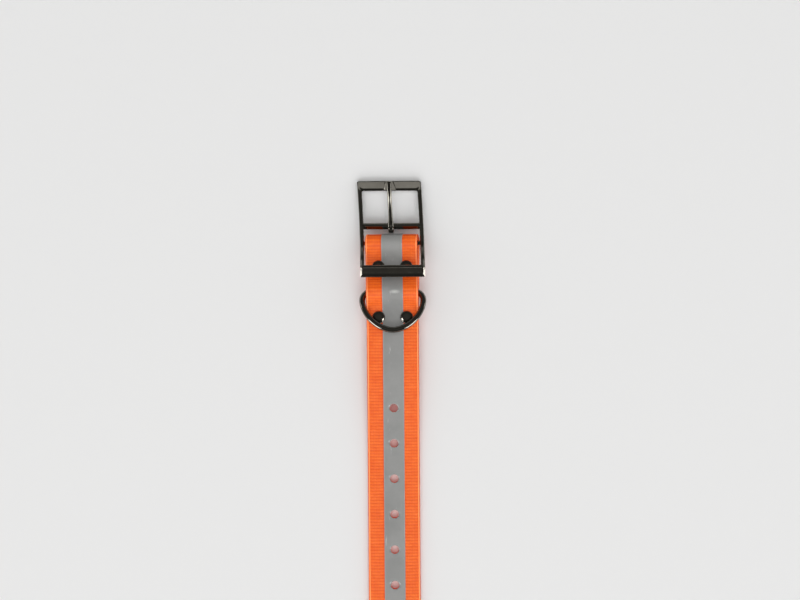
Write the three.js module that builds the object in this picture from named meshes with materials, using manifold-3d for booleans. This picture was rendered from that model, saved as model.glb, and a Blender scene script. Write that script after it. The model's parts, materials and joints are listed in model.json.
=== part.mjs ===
// A flat dog collar laid out straight: coated webbing with a reflective centre tape and a row of punched
// holes, a buckle with its own keeper bar held in the strap's riveted fold, and a D-ring behind it.
// Units are millimetres. The strap lies along Y with the buckle at +Y, X runs across it and Z is up.
// Lengths along Y are measured from the strap bar, the buckle's bar inside the fold. The origin is at
// the middle of the whole collar, on the surface that it lies on.

import * as THREE from 'three';
import * as BufferGeometryUtils from 'three/addons/utils/BufferGeometryUtils.js';
import Module from 'manifold-3d';

const wasm = await Module();
wasm.setup();

// Driving dimensions

const OVERALL_LENGTH = 610;
const CENTRING_X = 0.5;
const GAP = 0.1;
const CUT_MARGIN = 1;
const ROUND_SIDES = 20;
const SMALL_ROUND_SIDES = 12;

const STRAP_WIDTH = 25;
const STRAP_THICKNESS = 2.4;
const LAYER_GAP = 0.2;
const LOWER_LAYER_END_Y = -44.5;
const TAIL_RAMP_START_Y = LOWER_LAYER_END_Y - 1;
const TAIL_RAMP_END_Y = -112;
const FOLD_RUN = 8.6;
const RING_RUN = 8.3;
const TIP_LENGTH = 11;
const SWAY_START_Y = -40;
const SWAY_AT_BAR = -0.5;

const TAPE_WIDTH = 10;
const TAPE_OFFSET = 0.2;
const TAPE_THICKNESS = 0.2;

const HOLE_RADIUS = 2;
const HOLE_COUNT = 28;
const HOLE_PITCH = 17.1;
const FIRST_HOLE_Y = -79.05;

const FRAME_WIDTH = 30.8;
const RAIL_WIDTH = 2;
const FRAME_TOP_Y = 30.1;
const TOP_BAR_WIDTH = 4.65;
const RAIL_DEPTH = 3;
const RAIL_KNEE = new THREE.Vector2(-4.4, 8.4);
const RAIL_MIDSPAN = new THREE.Vector2(18, 2.5);
const KEEPER_DEPTH = 2;
const KEEPER_TOP_Y = -10.6;
const KEEPER_WIDTH = 5.75;
const KEEPER_Z = 12.7;
const KEEPER_EDGE_DROP = 0.2;
const KEEPER_BEVEL_RUN = 1.5;
const KEEPER_BEVEL_DROP = 0.8;
const KEEPER_OFFSET = 0.17;
const RAIL_BOW = -0.00078;
const RAIL_BOW_START_Y = -15;

const PIN_RADIUS = 1.5;
const PIN_END_RADIUS = 0.9;
const PIN_END_LENGTH = 1.5;
const PIN_SIDE_GAP = 0.2;
const STRAP_BAR_CLEARANCE = 0.45;

const PRONG_BAR_Y = 8.25;
const PRONG_BAR_Z = 4.3;
const PRONG_LOOP_RADIUS = 3.1;
const PRONG_LOOP_BORE = 1.7;
const PRONG_LOOP_WIDTH = 2.7;
const PRONG_WIDTH = 2.1;
const PRONG_TIP_Y = 29.9;
const PRONG_OFFSET = -0.56;
const PRONG_LEAN = THREE.MathUtils.degToRad(2.2);
const SEAT_DEPTH = 0.7;
const SEAT_FLOOR_WIDTH = 3;
const SEAT_MOUTH_WIDTH = 5;
const SEAT_LIP = 0.2;

const RING_MIDDLE_X = -0.1;
const RING_BAR_Y = -23.2;
const RING_WIRE_RADIUS = 1.4;
const RING_HALF_WIDTH = 14.5;
const RING_CORNER_RADIUS = 4.2;
const RING_REACH = 18.8;
const RING_ROUNDNESS = 1.8;
const RING_TILT = THREE.MathUtils.degToRad(14);
const RING_CLEARANCE_BELOW = 0.5;
const RING_CLEARANCE_ABOVE = 1.15;

const RIVET_ROWS_Y = [-11.25, -35.45];
const RIVET_SPREAD = 6.7;
const RIVET_CAP_RADIUS = 3.05;
const RIVET_CAP_HEIGHT = 1.5;
const RIVET_CAP_RIM = 0.35;
const RIVET_POST_RADIUS = 1.2;
const RIVET_POST_CLEARANCE = 0.3;
const RIVET_BACK_RADIUS = 2.8;
const RIVET_BACK_HEIGHT = 0.8;
const RIVET_BACK_BEVEL = 0.3;
const RIVET_HOLE_RADIUS = 1.5;

// Heights that follow from the way the layers stack on the rivets' backs

const LOWER_LAYER_BOTTOM = RIVET_BACK_HEIGHT + TAPE_THICKNESS + 2 * GAP;
const LOWER_LAYER_TOP = LOWER_LAYER_BOTTOM + STRAP_THICKNESS;
const LOWER_LAYER_MIDDLE = LOWER_LAYER_BOTTOM + STRAP_THICKNESS / 2;
const UPPER_LAYER_BOTTOM = LOWER_LAYER_TOP + LAYER_GAP;
const UPPER_LAYER_MIDDLE = UPPER_LAYER_BOTTOM + STRAP_THICKNESS / 2;
const UPPER_LAYER_TOP = UPPER_LAYER_BOTTOM + STRAP_THICKNESS;
const STRAP_BAR_Z = LOWER_LAYER_TOP + PIN_RADIUS + STRAP_BAR_CLEARANCE;
const FOLD_RADIUS = STRAP_BAR_Z - LOWER_LAYER_MIDDLE;
const RING_BAR_Z = LOWER_LAYER_TOP + RING_WIRE_RADIUS + RING_CLEARANCE_BELOW;
const TIP_Y = FRAME_TOP_Y - OVERALL_LENGTH;
const KEEPER_END_Y = KEEPER_TOP_Y - KEEPER_WIDTH;
const WINDOW_TOP_Y = FRAME_TOP_Y - TOP_BAR_WIDTH;
const WINDOW_HALF_WIDTH = FRAME_WIDTH / 2 - RAIL_WIDTH;
const ABOVE_ALL = KEEPER_Z + 10;

// Solids

function toSolid(geometry) {
  const bare = geometry.clone();
  bare.deleteAttribute('normal');
  bare.deleteAttribute('uv');
  const merged = BufferGeometryUtils.mergeVertices(bare, 1e-4);
  const mesh = new wasm.Mesh({
    numProp: 3,
    vertProperties: new Float32Array(merged.attributes.position.array),
    triVerts: new Uint32Array(merged.index.array),
  });
  return new wasm.Manifold(mesh);
}

function toGeometry(solid) {
  const mesh = solid.getMesh();
  const geometry = new THREE.BufferGeometry();
  geometry.setAttribute('position', new THREE.BufferAttribute(new Float32Array(mesh.vertProperties), 3));
  geometry.setIndex(new THREE.BufferAttribute(new Uint32Array(mesh.triVerts), 1));
  return geometry;
}

// A prism whose section is drawn in the YZ plane and runs across the collar, centred on X = 0.
function acrossPrism(outline, width) {
  const geometry = new THREE.ExtrudeGeometry(new THREE.Shape(outline), { depth: width, bevelEnabled: false });
  geometry.translate(0, 0, -width / 2);
  const alongY = new THREE.Vector3(0, 1, 0);
  const alongZ = new THREE.Vector3(0, 0, 1);
  const alongX = new THREE.Vector3(1, 0, 0);
  return geometry.applyMatrix4(new THREE.Matrix4().makeBasis(alongY, alongZ, alongX));
}

// A prism whose outline is drawn in the XY plane, between two heights.
function uprightPrism(outline, low, high) {
  const shape = new THREE.Shape(outline);
  return new THREE.ExtrudeGeometry(shape, { depth: high - low, bevelEnabled: false }).translate(0, 0, low);
}

function uprightCylinder(radius, x, y, low, high, sides) {
  const geometry = new THREE.CylinderGeometry(radius, radius, high - low, sides);
  return geometry.rotateX(Math.PI / 2).translate(x, y, (low + high) / 2);
}

function acrossCylinder(radius, length, x, y, z, sides) {
  return new THREE.CylinderGeometry(radius, radius, length, sides).rotateZ(Math.PI / 2).translate(x, y, z);
}

// Moves every point sideways, so that a shape drawn along X = 0 follows a middle line instead.
function followMiddle(geometry, middle) {
  const places = geometry.attributes.position;
  for (let i = 0; i < places.count; i += 1) {
    places.setX(i, places.getX(i) + middle(places.getY(i)));
  }
  return geometry;
}

// The two faces of a bent strip, at given distances to the right of its path, joined into one outline.
function stripOutline(path, nearDistance, farDistance) {
  const near = [];
  const far = [];
  path.forEach((point, i) => {
    const before = path[Math.max(i - 1, 0)];
    const after = path[Math.min(i + 1, path.length - 1)];
    const direction = after.clone().sub(before).normalize();
    const right = new THREE.Vector2(direction.y, -direction.x);
    near.push(point.clone().addScaledVector(right, nearDistance));
    far.push(point.clone().addScaledVector(right, farDistance));
  });
  return near.concat(far.reverse());
}

// The strap

// 1 at the centre of a rise, falling smoothly to 0 at the end of its run.
function easedRise(y, centre, run) {
  const share = Math.min(Math.abs(y - centre) / run, 1);
  return 0.5 + 0.5 * Math.cos(Math.PI * share);
}

// The height of the upper layer's middle: it climbs over the two bars and comes down to the surface.
function upperLayerHeight(y) {
  const foldRise = STRAP_BAR_Z + FOLD_RADIUS - UPPER_LAYER_MIDDLE;
  const ringRise = RING_BAR_Z + RING_WIRE_RADIUS + RING_CLEARANCE_ABOVE - UPPER_LAYER_BOTTOM;
  const tailDrop = UPPER_LAYER_MIDDLE - STRAP_THICKNESS / 2;
  const rampLength = TAIL_RAMP_START_Y - TAIL_RAMP_END_Y;
  const settled = 1 - easedRise(Math.min(y, TAIL_RAMP_START_Y), TAIL_RAMP_START_Y, rampLength);
  return UPPER_LAYER_MIDDLE + foldRise * easedRise(y, 0, FOLD_RUN)
    + ringRise * easedRise(y, RING_BAR_Y, RING_RUN) - tailDrop * settled;
}

// The middle of the strap's thickness, from the hidden end of the fold round the bar to the tip.
function strapPath() {
  const arcSteps = 12;
  const path = [new THREE.Vector2(LOWER_LAYER_END_Y, LOWER_LAYER_MIDDLE)];
  for (let i = 0; i < arcSteps; i += 1) {
    const angle = -Math.PI / 2 + (Math.PI * i) / arcSteps;
    path.push(new THREE.Vector2(FOLD_RADIUS * Math.cos(angle), STRAP_BAR_Z + FOLD_RADIUS * Math.sin(angle)));
  }
  const bentStretches = [
    { from: 0, to: -FOLD_RUN, steps: 8 },
    { from: RING_BAR_Y + RING_RUN, to: RING_BAR_Y - RING_RUN, steps: 16 },
    { from: TAIL_RAMP_START_Y, to: TAIL_RAMP_END_Y, steps: 14 },
  ];
  bentStretches.forEach(({ from, to, steps }) => {
    for (let i = 0; i <= steps; i += 1) {
      const y = from + ((to - from) * i) / steps;
      path.push(new THREE.Vector2(y, upperLayerHeight(y)));
    }
  });
  path.push(new THREE.Vector2(TIP_Y, STRAP_THICKNESS / 2));
  return path;
}

// The strap's outline from above, with its rounded tip.
function strapPlan() {
  const half = STRAP_WIDTH / 2;
  const beyondFold = 2 * FOLD_RADIUS;
  const plan = new THREE.Shape();
  plan.moveTo(-half, beyondFold);
  plan.lineTo(-half, TIP_Y + TIP_LENGTH);
  plan.absellipse(0, TIP_Y + TIP_LENGTH, half, TIP_LENGTH, Math.PI, 2 * Math.PI, false);
  plan.lineTo(half, beyondFold);
  return plan.getPoints(SMALL_ROUND_SIDES);
}

function sizingHoles() {
  const holes = [];
  for (let i = 0; i < HOLE_COUNT; i += 1) {
    const y = FIRST_HOLE_Y - i * HOLE_PITCH;
    const hole = uprightCylinder(HOLE_RADIUS, TAPE_OFFSET, y, -CUT_MARGIN, ABOVE_ALL, SMALL_ROUND_SIDES);
    holes.push(toSolid(hole));
  }
  return holes;
}

function rivetPlaces() {
  const sides = [-RIVET_SPREAD, RIVET_SPREAD];
  return RIVET_ROWS_Y.flatMap((y) => sides.map((x) => new THREE.Vector2(x, y)));
}

// The middle of the strap's width, which drifts a little to the left beside the buckle.
function strapMiddle(y) {
  return SWAY_AT_BAR * Math.max(1 - y / SWAY_START_Y, 0);
}

// A strip cut from one length of sheet, in the strap's shape and within its plan.
function strapStrip(width, middleX, nearDistance, farDistance) {
  const outline = stripOutline(strapPath(), nearDistance, farDistance);
  const strip = toSolid(acrossPrism(outline, width).translate(middleX, 0, 0));
  const plan = toSolid(uprightPrism(strapPlan(), -CUT_MARGIN, ABOVE_ALL));
  const straight = sizingHoles().reduce((solid, hole) => solid.subtract(hole), strip.intersect(plan));
  return followMiddle(toGeometry(straight), strapMiddle);
}

function strap() {
  const body = toSolid(strapStrip(STRAP_WIDTH, 0, -STRAP_THICKNESS / 2, STRAP_THICKNESS / 2));
  const rivetHoles = rivetPlaces().map((place) => toSolid(
    uprightCylinder(RIVET_HOLE_RADIUS, place.x, place.y, -CUT_MARGIN, ABOVE_ALL, SMALL_ROUND_SIDES),
  ));
  return toGeometry(rivetHoles.reduce((solid, hole) => solid.subtract(hole), body));
}

function reflectiveTape() {
  const inner = STRAP_THICKNESS / 2 + GAP;
  return strapStrip(TAPE_WIDTH, TAPE_OFFSET, inner, inner + TAPE_THICKNESS);
}

// The rivets

function rivetCap() {
  const under = UPPER_LAYER_TOP + TAPE_THICKNESS + 2 * GAP;
  const postEnd = RIVET_BACK_HEIGHT + RIVET_POST_CLEARANCE;
  const rimTop = under + RIVET_CAP_RIM;
  const domeHeight = RIVET_CAP_HEIGHT - RIVET_CAP_RIM;
  const dome = new THREE.EllipseCurve(0, rimTop, RIVET_CAP_RADIUS, domeHeight, 0, Math.PI / 2);
  const profile = [
    new THREE.Vector2(0, postEnd),
    new THREE.Vector2(RIVET_POST_RADIUS, postEnd),
    new THREE.Vector2(RIVET_POST_RADIUS, under),
    new THREE.Vector2(RIVET_CAP_RADIUS, under),
    ...dome.getPoints(6),
  ];
  profile[profile.length - 1].x = 0;
  return new THREE.LatheGeometry(profile, ROUND_SIDES).rotateX(Math.PI / 2);
}

function rivetBack() {
  const profile = [
    new THREE.Vector2(0, 0),
    new THREE.Vector2(RIVET_BACK_RADIUS - RIVET_BACK_BEVEL, 0),
    new THREE.Vector2(RIVET_BACK_RADIUS, RIVET_BACK_BEVEL),
    new THREE.Vector2(RIVET_BACK_RADIUS, RIVET_BACK_HEIGHT),
    new THREE.Vector2(0, RIVET_BACK_HEIGHT),
  ];
  return new THREE.LatheGeometry(profile, ROUND_SIDES).rotateX(Math.PI / 2);
}

// The D-ring: a straight bar between the strap's layers and a bow that lies over the rivets.

// A quarter turn from the bar into one side, with side = 1 for the right and -1 for the left.
function ringCorner(side) {
  const steps = 5;
  const corner = [];
  for (let i = 0; i < steps; i += 1) {
    const angle = (-Math.PI / 2) * (1 - i / steps);
    corner.push(new THREE.Vector2(
      side * (RING_HALF_WIDTH - RING_CORNER_RADIUS + RING_CORNER_RADIUS * Math.cos(angle)),
      RING_CORNER_RADIUS * (1 + Math.sin(angle)),
    ));
  }
  return corner;
}

// The bow is half of a superellipse, slightly more pointed than an ellipse.
function ringBow() {
  const steps = 26;
  const bow = [];
  for (let i = 0; i <= steps; i += 1) {
    const angle = (Math.PI * i) / steps;
    const across = Math.sign(Math.cos(angle)) * Math.abs(Math.cos(angle)) ** (2 / RING_ROUNDNESS);
    const along = Math.abs(Math.sin(angle)) ** (2 / RING_ROUNDNESS);
    bow.push(new THREE.Vector2(
      RING_HALF_WIDTH * across,
      RING_CORNER_RADIUS + (RING_REACH - RING_CORNER_RADIUS) * along,
    ));
  }
  return bow;
}

function ringCurve() {
  const quarterBar = (RING_HALF_WIDTH - RING_CORNER_RADIUS) / 2;
  const outline = [
    new THREE.Vector2(-quarterBar, 0),
    new THREE.Vector2(0, 0),
    new THREE.Vector2(quarterBar, 0),
    ...ringCorner(1),
    ...ringBow(),
    ...ringCorner(-1).reverse(),
  ];
  const points = outline.map((point) => new THREE.Vector3(point.x, -point.y, 0));
  return new THREE.CatmullRomCurve3(points, true);
}

function dRing() {
  const segments = 72;
  const wireSides = 10;
  return new THREE.TubeGeometry(ringCurve(), segments, RING_WIRE_RADIUS, wireSides, true);
}

// The buckle frame

// The middle of the frame's width. The rails bow to the left towards the top bar.
function frameMiddle(y) {
  return KEEPER_OFFSET + RAIL_BOW * (y - RAIL_BOW_START_Y) ** 2;
}

// The middle of the rails in side view, from the keeper's lower edge up to the top bar.
function railCurve() {
  const restingHeight = RAIL_DEPTH / 2;
  return new THREE.SplineCurve([
    new THREE.Vector2(KEEPER_END_Y, KEEPER_Z),
    new THREE.Vector2(KEEPER_TOP_Y - KEEPER_WIDTH / 2, KEEPER_Z),
    new THREE.Vector2(KEEPER_TOP_Y, KEEPER_Z - KEEPER_EDGE_DROP),
    RAIL_KNEE,
    new THREE.Vector2(0, STRAP_BAR_Z),
    new THREE.Vector2(PRONG_BAR_Y, PRONG_BAR_Z),
    RAIL_MIDSPAN,
    new THREE.Vector2(WINDOW_TOP_Y, restingHeight),
    new THREE.Vector2(FRAME_TOP_Y, restingHeight),
  ]);
}

// The rails are thinner at the keeper, and flat underneath where they rest on the surface.
function frameSideOutline() {
  const steps = 30;
  const narrowingRun = 5;
  const upper = [];
  const lower = [];
  railCurve().getPoints(steps).forEach(({ x: y, y: z }) => {
    const narrowing = THREE.MathUtils.smoothstep(-y, -KEEPER_TOP_Y - narrowingRun, -KEEPER_TOP_Y);
    const half = THREE.MathUtils.lerp(RAIL_DEPTH, KEEPER_DEPTH, narrowing) / 2;
    upper.push(new THREE.Vector2(y, z + half));
    lower.push(new THREE.Vector2(y, Math.max(z - half, 0)));
  });
  return upper.concat(lower.reverse());
}

// The groove across the top bar in which the prong's tip rests.
function prongSeat() {
  const mouthZ = RAIL_DEPTH + SEAT_LIP;
  const floorZ = RAIL_DEPTH - SEAT_DEPTH;
  const section = [
    new THREE.Vector2(-SEAT_MOUTH_WIDTH / 2, mouthZ + CUT_MARGIN),
    new THREE.Vector2(-SEAT_MOUTH_WIDTH / 2, mouthZ),
    new THREE.Vector2(-SEAT_FLOOR_WIDTH / 2, floorZ),
    new THREE.Vector2(SEAT_FLOOR_WIDTH / 2, floorZ),
    new THREE.Vector2(SEAT_MOUTH_WIDTH / 2, mouthZ),
    new THREE.Vector2(SEAT_MOUTH_WIDTH / 2, mouthZ + CUT_MARGIN),
  ];
  const depth = TOP_BAR_WIDTH + 2 * CUT_MARGIN;
  const groove = new THREE.ExtrudeGeometry(new THREE.Shape(section), { depth, bevelEnabled: false });
  return groove.rotateX(Math.PI / 2).translate(0, FRAME_TOP_Y + CUT_MARGIN, 0);
}

// The wedge that takes the sharp edge off the keeper's lower side.
function keeperBevel() {
  const keeperTop = KEEPER_Z + KEEPER_DEPTH / 2;
  return acrossPrism([
    new THREE.Vector2(KEEPER_END_Y - CUT_MARGIN, ABOVE_ALL),
    new THREE.Vector2(KEEPER_END_Y - CUT_MARGIN, keeperTop - KEEPER_BEVEL_DROP),
    new THREE.Vector2(KEEPER_END_Y, keeperTop - KEEPER_BEVEL_DROP),
    new THREE.Vector2(KEEPER_END_Y + KEEPER_BEVEL_RUN, keeperTop),
    new THREE.Vector2(KEEPER_END_Y + KEEPER_BEVEL_RUN, ABOVE_ALL),
  ], FRAME_WIDTH + 2 * CUT_MARGIN);
}

function buckleFrame() {
  const windowOutline = [
    new THREE.Vector2(-WINDOW_HALF_WIDTH, KEEPER_TOP_Y),
    new THREE.Vector2(WINDOW_HALF_WIDTH, KEEPER_TOP_Y),
    new THREE.Vector2(WINDOW_HALF_WIDTH, WINDOW_TOP_Y),
    new THREE.Vector2(-WINDOW_HALF_WIDTH, WINDOW_TOP_Y),
  ];
  const socketLength = 2 * (WINDOW_HALF_WIDTH + PIN_END_LENGTH);
  const socketRadius = PIN_END_RADIUS + PIN_SIDE_GAP;
  const cuts = [
    uprightPrism(windowOutline, -CUT_MARGIN, ABOVE_ALL),
    keeperBevel(),
    prongSeat(),
    acrossCylinder(socketRadius, socketLength, 0, 0, STRAP_BAR_Z, ROUND_SIDES),
    acrossCylinder(socketRadius, socketLength, 0, PRONG_BAR_Y, PRONG_BAR_Z, ROUND_SIDES),
  ];
  const blank = toSolid(acrossPrism(frameSideOutline(), FRAME_WIDTH));
  const straight = toGeometry(cuts.reduce((solid, cut) => solid.subtract(toSolid(cut)), blank));
  return followMiddle(straight, frameMiddle);
}

// A bar of the buckle: a round pin with a thinner end seated in each rail.
function pin() {
  const shoulder = WINDOW_HALF_WIDTH - PIN_SIDE_GAP;
  const end = shoulder + PIN_END_LENGTH;
  const profile = [
    new THREE.Vector2(0, -end),
    new THREE.Vector2(PIN_END_RADIUS, -end),
    new THREE.Vector2(PIN_END_RADIUS, -shoulder),
    new THREE.Vector2(PIN_RADIUS, -shoulder),
    new THREE.Vector2(PIN_RADIUS, shoulder),
    new THREE.Vector2(PIN_END_RADIUS, shoulder),
    new THREE.Vector2(PIN_END_RADIUS, end),
    new THREE.Vector2(0, end),
  ];
  return new THREE.LatheGeometry(profile, ROUND_SIDES).rotateZ(-Math.PI / 2);
}

// The prong, drawn about the axis of its bar: a rolled loop and a shank that rests on the top bar.
function prong() {
  const reach = PRONG_TIP_Y - PRONG_BAR_Y;
  const root = new THREE.Vector2(1.7, 1.1);
  const noseBottom = new THREE.Vector2(reach - 0.4, -1.85);
  const nose = new THREE.Vector2(reach, -1.3);
  const noseTop = new THREE.Vector2(reach - 0.5, -0.7);
  const undersideBend = new THREE.Vector2(reach * 0.5, 0.25);
  const topBend = new THREE.Vector2(reach * 0.45, 2.3);
  const shank = new THREE.Shape();
  shank.moveTo(0, (PRONG_LOOP_BORE + PRONG_LOOP_RADIUS) / 2);
  shank.lineTo(root.x, root.y);
  shank.quadraticCurveTo(undersideBend.x, undersideBend.y, noseBottom.x, noseBottom.y);
  shank.lineTo(nose.x, nose.y);
  shank.lineTo(noseTop.x, noseTop.y);
  shank.quadraticCurveTo(topBend.x, topBend.y, 0, PRONG_LOOP_RADIUS);
  const boreLength = PRONG_LOOP_WIDTH + 2 * CUT_MARGIN;
  const bore = toSolid(acrossCylinder(PRONG_LOOP_BORE, boreLength, 0, 0, 0, ROUND_SIDES));
  const loop = toSolid(acrossCylinder(PRONG_LOOP_RADIUS, PRONG_LOOP_WIDTH, 0, 0, 0, ROUND_SIDES));
  const blade = toSolid(acrossPrism(shank.getPoints(8), PRONG_WIDTH));
  return toGeometry(loop.add(blade).subtract(bore));
}

// Materials

const webbing = new THREE.MeshStandardMaterial({ color: 0xf0692f, roughness: 0.4, metalness: 0 });
const reflective = new THREE.MeshStandardMaterial({ color: 0x969696, roughness: 0.45, metalness: 0.1 });
const blackNickel = new THREE.MeshStandardMaterial({ color: 0x55524c, roughness: 0.15, metalness: 1 });

// Assembly

function named(name, geometry, material) {
  const mesh = new THREE.Mesh(geometry, material);
  mesh.name = name;
  return mesh;
}

function rivetGroup() {
  const group = new THREE.Group();
  const labels = ['buckle_left', 'buckle_right', 'ring_left', 'ring_right'];
  rivetPlaces().forEach((place, i) => {
    [named(`rivet_cap_${labels[i]}`, rivetCap(), blackNickel),
      named(`rivet_back_${labels[i]}`, rivetBack(), blackNickel)].forEach((half) => {
      half.position.set(place.x, place.y, 0);
      group.add(half);
    });
  });
  return group;
}

// Both bars lie square to the strap. The prong has slid a little along its bar and leans to the left.
function buckleGroup() {
  const group = new THREE.Group();
  const strapBar = named('strap_bar_pin', pin(), blackNickel);
  strapBar.position.set(frameMiddle(0), 0, STRAP_BAR_Z);
  const prongBar = named('prong_bar_pin', pin(), blackNickel);
  prongBar.position.set(frameMiddle(PRONG_BAR_Y), PRONG_BAR_Y, PRONG_BAR_Z);
  const tongue = named('prong', prong(), blackNickel);
  tongue.position.set(PRONG_OFFSET, PRONG_BAR_Y, PRONG_BAR_Z);
  tongue.rotation.z = PRONG_LEAN;
  group.add(named('buckle_frame', buckleFrame(), blackNickel), strapBar, prongBar, tongue);
  return group;
}

function ringMesh() {
  const ring = named('d_ring', dRing(), blackNickel);
  ring.position.set(RING_MIDDLE_X, RING_BAR_Y, RING_BAR_Z);
  ring.rotation.x = -RING_TILT;
  return ring;
}

const collar = new THREE.Group();
collar.add(
  named('strap', strap(), webbing),
  named('reflective_tape', reflectiveTape(), reflective),
  rivetGroup(),
  buckleGroup(),
  ringMesh(),
);
collar.position.set(CENTRING_X, OVERALL_LENGTH / 2 - FRAME_TOP_Y, 0);

export default collar;
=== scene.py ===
import json
import math

import bmesh
import bpy
import numpy as np
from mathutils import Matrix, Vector
from mathutils.kdtree import KDTree


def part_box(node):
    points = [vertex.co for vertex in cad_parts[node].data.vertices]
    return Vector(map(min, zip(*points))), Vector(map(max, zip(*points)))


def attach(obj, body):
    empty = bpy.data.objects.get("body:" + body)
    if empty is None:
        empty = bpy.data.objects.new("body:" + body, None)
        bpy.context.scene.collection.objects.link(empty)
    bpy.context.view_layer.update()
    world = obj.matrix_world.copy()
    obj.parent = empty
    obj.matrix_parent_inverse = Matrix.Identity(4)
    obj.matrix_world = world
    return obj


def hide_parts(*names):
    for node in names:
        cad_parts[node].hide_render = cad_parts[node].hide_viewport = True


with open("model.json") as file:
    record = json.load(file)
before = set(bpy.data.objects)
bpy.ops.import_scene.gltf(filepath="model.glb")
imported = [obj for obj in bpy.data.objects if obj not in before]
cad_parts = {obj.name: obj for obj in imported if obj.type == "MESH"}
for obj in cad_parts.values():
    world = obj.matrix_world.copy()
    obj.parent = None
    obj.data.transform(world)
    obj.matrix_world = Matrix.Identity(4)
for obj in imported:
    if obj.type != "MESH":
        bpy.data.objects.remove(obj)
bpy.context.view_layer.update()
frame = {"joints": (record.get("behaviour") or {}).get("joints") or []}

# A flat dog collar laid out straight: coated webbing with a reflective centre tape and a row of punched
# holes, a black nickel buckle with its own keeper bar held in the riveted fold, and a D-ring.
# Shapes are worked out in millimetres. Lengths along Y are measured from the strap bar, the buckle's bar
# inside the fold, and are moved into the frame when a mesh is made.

MM = 0.001
joints = {joint["name"]: joint for joint in frame["joints"]}

# Places from the frame

STRAP_BAR_AT = Vector(joints["buckle_hinge"]["pos_m"]) / MM
PRONG_BAR_AT = Vector(joints["prong_hinge"]["pos_m"]) / MM
RING_BAR_AT = Vector(joints["d_ring_hinge"]["pos_m"]) / MM
STRAP_BAR_Z = STRAP_BAR_AT.z
ORIGIN = Vector((STRAP_BAR_AT.x, STRAP_BAR_AT.y, 0))
PRONG_BAR = PRONG_BAR_AT - ORIGIN
RING_BAR = RING_BAR_AT - ORIGIN

# Driving dimensions, in millimetres

STRAP_WIDTH = 25
STRAP_THICKNESS = 2.4
LAYER_GAP = 0.2
LOWER_LAYER_BOTTOM = 1.2
LOWER_LAYER_END_Y = -44.5
TAIL_RAMP_START_Y = LOWER_LAYER_END_Y - 1
TAIL_RAMP_END_Y = -112
FOLD_RUN = 8.6
RING_RUN = 8.3
RING_CLEARANCE_ABOVE = 1.15
TIP_LENGTH = 11
SWAY_START_Y = -40
SWAY_AT_BAR = -0.5
LOWER_SWAY_AT_BAR = 0.75

RIB_PITCH = 1.5
RIB_DEPTH = 0.2
RIB_END_RUN = 0.3
SELVEDGE_WIDTH = 0.7
SELVEDGE_NOSE = 0.7
SELVEDGE_GROOVE = 0.2

TAPE_WIDTH = 10
TAPE_OFFSET = 0.2
TAPE_TOP = 1.5
TAPE_UNDER = 1.12
# Where the painted highlight on the tape's crease over the D-ring's bar lies, and how far it reaches.
CREASE_HIGHLIGHT_PLACE = Vector((1, -23.2, 9.5))
CREASE_HIGHLIGHT_REACH = Vector((3, 1.15, 6))

HOLE_RADIUS = 2
HOLE_COUNT = 28
HOLE_PITCH = 17.1
FIRST_HOLE_Y = -79.05

FRAME_WIDTH = 30.8
RAIL_WIDTH = 2
FRAME_TOP_Y = 30.1
TOP_BAR_WIDTH = 4.65
RAIL_DEPTH = 3
RAIL_KNEE = (-4.4, 8.4)
RAIL_MIDSPAN = (18, 2.5)
WINDOW_TOP_Y = FRAME_TOP_Y - TOP_BAR_WIDTH
KEEPER_DEPTH = 2
KEEPER_TOP_Y = -10.6
KEEPER_WIDTH = 5.75
KEEPER_END_Y = KEEPER_TOP_Y - KEEPER_WIDTH
KEEPER_Z = 12.7
KEEPER_EDGE_DROP = 0.2
KEEPER_OFFSET = 0.17
RAIL_BOW = -0.00078
RAIL_BOW_START_Y = -15

# The frame's edges, each as its run and its drop

SIDE_ROUNDING = (0.8, 0.7)
WINDOW_ROUNDING = (0.6, 0.5)
UNDERSIDE_ROUNDING = (0.3, 0.3)
TOP_EDGE_ROUNDING = (0.25, 0.2)
TOP_BAR_BEVEL = (1.1, 0.72)
KEEPER_SIDE_BEVEL = (1.15, 1)
KEEPER_FOOT_BEVEL = (1.5, 0.8)
KEEPER_FOOT_ROUNDING = (0.3, 0.2)
KEEPER_TOP_BEVEL = (0.3, 0.26)
KEEPER_SIDE_BEVEL_START_Y = KEEPER_TOP_Y + 4
KEEPER_SIDE_BEVEL_FADE = 1.2
TOP_BAR_SIDE_SHARPENING = 0.65
TOP_BAR_SIDE_FADE = 2

# The bars, the prong, the D-ring and the rivets

PIN_RADIUS = 1.5
THIN_END_RADIUS = 0.65 * PIN_RADIUS
PRONG_LOOP_RADIUS = 3.4
PRONG_LOOP_BORE = 1.7
PRONG_LOOP_WIDTH = 2.7
PRONG_WIDTH = 2.1
PRONG_TIP_Y = 29.9
PRONG_LEAN = math.radians(2.2)

RING_WIRE_RADIUS = 1.4
RING_HALF_WIDTH = 14.5
RING_EXTRA_HALF_WIDTH = 0.15
RING_SHIFT = 0.2
RING_CORNER_RADIUS = 4.2
RING_REACH = 18.8
RING_ROUNDNESS = 1.8
RING_TILT = math.radians(14)

RIVET_CAP_RADIUS = 3.05
RIVET_CAP_HEIGHT = 1.5
RIVET_CAP_RIM = 0.35
RIVET_POST_RADIUS = 1.2
RIVET_BACK_RADIUS = 2.8

LOWER_LAYER_MIDDLE = LOWER_LAYER_BOTTOM + STRAP_THICKNESS / 2
UPPER_LAYER_MIDDLE = LOWER_LAYER_MIDDLE + STRAP_THICKNESS + LAYER_GAP
FOLD_RADIUS = STRAP_BAR_Z - LOWER_LAYER_MIDDLE
TIP_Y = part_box("strap")[0].y / MM - ORIGIN.y


# Meshes

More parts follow.
